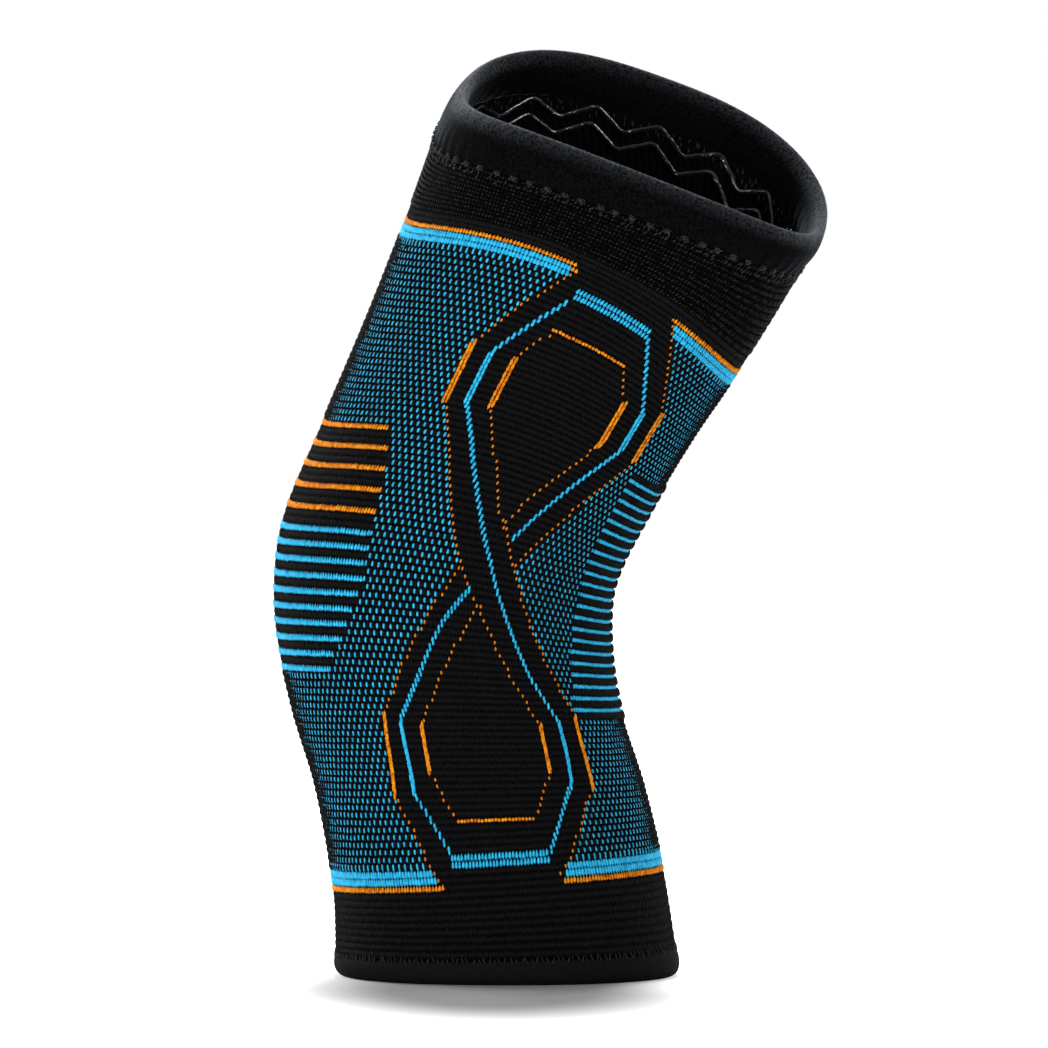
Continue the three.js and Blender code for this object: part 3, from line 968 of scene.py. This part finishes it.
silicone_values = {"Roughness": 0.1, "Coat Weight": 1.0, "Coat Roughness": 0.05}
silicone_tones = {"A": (0.002, 0.002, 0.0025, 1), "B": (0.012, 0.013, 0.014, 1)}
silicone, silicone_tree, silicone_shader = new_material("silicone", silicone_values)
silicone_place = add_node(silicone_tree, "ShaderNodeTexCoord")
silicone_cloud = add_node(silicone_tree, "ShaderNodeTexNoise", {"Scale": 400})
silicone_tone = add_node(silicone_tree, "ShaderNodeMix", silicone_tones, data_type="RGBA")
silicone_dimples = add_node(silicone_tree, "ShaderNodeTexNoise", {"Scale": 330})
silicone_bump = add_node(silicone_tree, "ShaderNodeBump", {"Distance": 0.002, "Strength": 0.8})
link_nodes(
    silicone_tree,
    (silicone_place, "Object", silicone_dimples, "Vector"),
    (silicone_dimples, "Fac", silicone_bump, "Height"),
    (silicone_bump, "Normal", silicone_shader, "Normal"),
    (silicone_place, "Object", silicone_cloud, "Vector"),
    (silicone_cloud, "Fac", silicone_tone, "Factor"),
    (silicone_tone, "Result", silicone_shader, "Base Color"),
)
upper_wave_row = row_along(top_hem_row, -(wave_swing / 2 + bead_width / 2 + bead_clearance))
lower_wave_row = row_along(upper_wave_row, -wave_spacing)
for name, wave_row in (("silicone_wave_upper", upper_wave_row), ("silicone_wave_lower", lower_wave_row)):
    row_swing = row_along(wave_row, wave_swing / 2) - wave_row
    wave_wales = np.arange(wave_count * wave_steps) * wales / (wave_count * wave_steps)
    wave_turns = 2 * math.pi * wave_count * wave_wales / wales
    wave_shape = np.sin(wave_turns) - wave_sharpness * np.sin(3 * wave_turns)
    wave_rows = wave_row + row_swing * wave_shape
    bead_lift = np.full(len(wave_wales), -(wall + bead_clearance + bead_thickness / 2))
    wave_path = np.stack([wave_wales, wave_rows, bead_lift], 1)
    bead = lay_bead(name + "_bead", wave_path, bead_width, bead_thickness, bead_sides)
    finish_piece(bead, silicone)
    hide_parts(name)

# Studio: a pale round floor with a painted shadow under the sleeve, glowing for the camera as white as the
# room farther out, broad soft lights, and the camera low in front of the sleeve's side.
camera_target = Vector((-0.0073, 0.0084, 0.1311))
camera_distance = 4.0
camera_rise = math.radians(2.3)
frame_width = 0.3039
sensor_width = 36
camera_data = bpy.data.cameras.new("camera")
camera_data.sensor_width = sensor_width
camera_data.lens = sensor_width * camera_distance / frame_width
camera_data.clip_end = 40
camera = bpy.data.objects.new("camera", camera_data)
camera.location = camera_target + Vector((0, -math.cos(camera_rise), math.sin(camera_rise))) * camera_distance
camera.rotation_euler = (math.radians(90) - camera_rise, 0, 0)
bpy.context.scene.collection.objects.link(camera)
bpy.context.scene.camera = camera

floor_radius = 3.0
floor_sides = 96
floor_slab = bmesh.new()
bmesh.ops.create_circle(floor_slab, cap_ends=True, segments=floor_sides, radius=floor_radius)
backdrop = add_piece("backdrop", floor_slab)
paper_values = {"Roughness": 1, "Specular IOR Level": 0, "Emission Color": (1, 1, 1, 1)}
# Painted shadow: an oval round the sleeve's foot where the floor is greyer and does not glow
painted_shadow_patch = {"Location": (-0.015, -0.045, 0), "Scale": (0.078, 0.17, 1)}
painted_shadow_greys = {"A": (0.33, 0.33, 0.33, 1), "B": (0.62, 0.62, 0.62, 1)}
backdrop_paper, paper_tree, paper = new_material("backdrop_paper", paper_values)
paper_place = add_node(paper_tree, "ShaderNodeTexCoord")
painted_shadow_round = add_node(paper_tree, "ShaderNodeMapping", painted_shadow_patch, vector_type="TEXTURE")
painted_shadow_far = add_node(paper_tree, "ShaderNodeVectorMath", operation="LENGTH")
painted_shadow_mask = add_node(paper_tree, "ShaderNodeMapRange", {"From Min": 0.35, "From Max": 1.0},
                      interpolation_type="SMOOTHSTEP")
painted_shadow_colour = add_node(paper_tree, "ShaderNodeMix", painted_shadow_greys, data_type="RGBA")
paper_seen = add_node(paper_tree, "ShaderNodeLightPath")
camera_floor_glow = add_node(paper_tree, "ShaderNodeMath", operation="MULTIPLY")
link_nodes(
    paper_tree,
    (paper_place, "Object", painted_shadow_round, "Vector"),
    (painted_shadow_round, "Vector", painted_shadow_far, 0),
    (painted_shadow_far, "Value", painted_shadow_mask, "Value"),
    (painted_shadow_mask, "Result", painted_shadow_colour, "Factor"),
    (painted_shadow_colour, "Result", paper, "Base Color"),
    (painted_shadow_mask, "Result", camera_floor_glow, 0),
    (paper_seen, "Is Camera Ray", camera_floor_glow, 1),
    (camera_floor_glow, "Value", paper, "Emission Strength"),
)
backdrop.data.materials.append(backdrop_paper)

room_light = 0.22
room_seen = 1.0
world = bpy.data.worlds.new("studio")
world.use_nodes = True
room = world.node_tree.nodes["Background"]
room.inputs["Color"].default_value = (1, 1, 1, 1)
seen_by = add_node(world.node_tree, "ShaderNodeLightPath")
room_mix = add_node(world.node_tree, "ShaderNodeMix", {"A": room_light, "B": room_seen})
link_nodes(
    world.node_tree,
    (seen_by, "Is Camera Ray", room_mix, "Factor"),
    (room_mix, "Result", room, "Strength"),
)
bpy.context.scene.world = world
bpy.context.scene.view_settings.view_transform = "Standard"

# Each light: where it stands, how wide it is, and its power in watts
studio_lights = {
    "key": ((-2.8, -2.3, 0.75), 1.3, 95),
    "fill": ((2.4, -3.0, 0.6), 1.2, 62),
    "top": ((0.08, 1.1, 1.9), 0.7, 70),
    "back_left": ((-1.0, 0.8, 0.9), 0.7, 20),
    "back_right": ((1.2, 0.9, 0.8), 0.7, 8),
}
for name, (place, size, power) in studio_lights.items():
    light_data = bpy.data.lights.new(name, "AREA")
    light_data.size = size
    light_data.energy = power
    light = bpy.data.objects.new(name, light_data)
    light.location = place
    light.rotation_euler = (camera_target - Vector(place)).to_track_quat("-Z", "Y").to_euler()
    bpy.context.scene.collection.objects.link(light)
